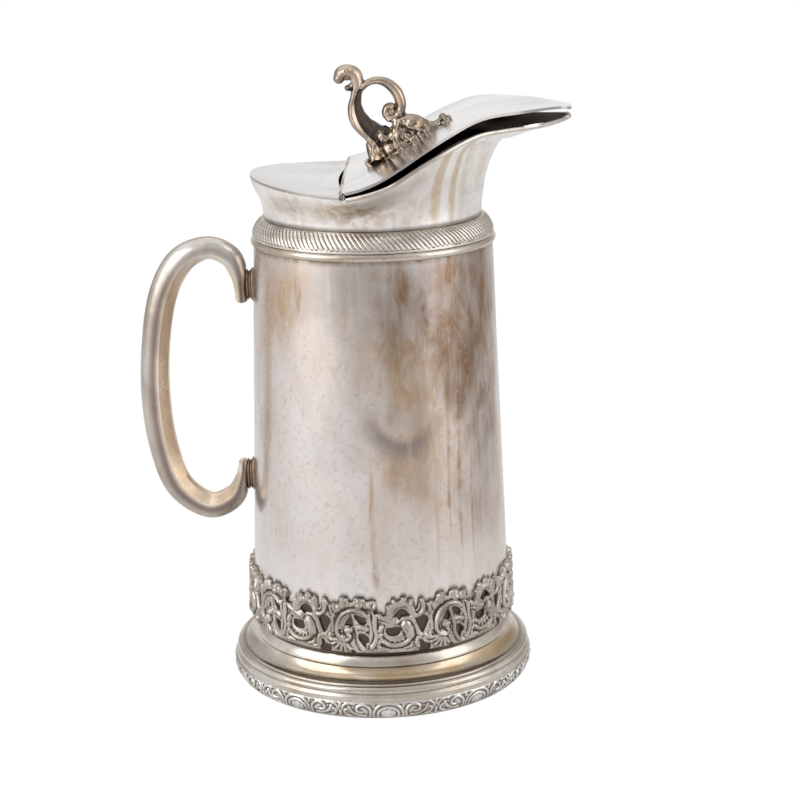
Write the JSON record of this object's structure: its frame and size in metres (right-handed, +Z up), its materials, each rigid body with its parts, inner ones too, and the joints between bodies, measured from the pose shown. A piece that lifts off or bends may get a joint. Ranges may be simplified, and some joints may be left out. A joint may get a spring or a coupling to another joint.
{
  "type": "thermal carafe",
  "caption": "Silver-plated thermal jug with a hinged spout lid, scrolled finial, C handle, pierced scroll band, spun foot and a glass vacuum flask inside.",
  "frame": {"origin": "on the jug's upright axis, in the flat base that it rests on", "axes": "+Z up along the body's axis, +X towards the spout, -X towards the handle"},
  "size_m": [0.2056, 0.1468, 0.2944],
  "materials": {
    "silver_plate": "polished",
    "foot_silver": "polished",
    "chased_silver": "satin",
    "handle_silver": "polished",
    "worn_copper": "satin",
    "steel": "satin",
    "flask_glass": "silvered",
    "rubber": "matte",
    "cup_plastic": "matte"
  },
  "bodies": {
    "jug": {"body_shell": "silver_plate", "collar": "silver_plate", "rim_wire": "silver_plate", "rear_cover": "silver_plate", "rear_knuckles": "silver_plate", "neck_plate": "silver_plate", "base_ledge": "silver_plate", "base_plate": "silver_plate", "foot_ring": "foot_silver", "foot_border": "foot_silver", "shoulder_ring": "foot_silver", "openwork_band": "chased_silver", "gadroon_band": "chased_silver", "upper_ferrule": "chased_silver", "lower_ferrule": "chased_silver", "handle": "handle_silver", "hinge_pin": "steel", "base_screws": "steel", "flask_inner_wall": "flask_glass", "flask_outer_wall": "flask_glass", "neck_gasket": "rubber", "cushion_ring": "rubber", "tip_cap": "rubber", "spacer_pads": "rubber", "support_cup": "cup_plastic"},
    "lid": {"lid": "silver_plate", "lid_knuckle": "silver_plate", "finial": "worn_copper", "finial_rivets": "silver_plate"}
  },
  "joints": [
    {"name": "lid_hinge", "type": "hinge", "parent": "jug", "child": "lid", "pos_m": [-0.012, 0, 0.2412], "axis": [0, -1, 0], "range_deg": [-1.1, 78]}
  ]
}
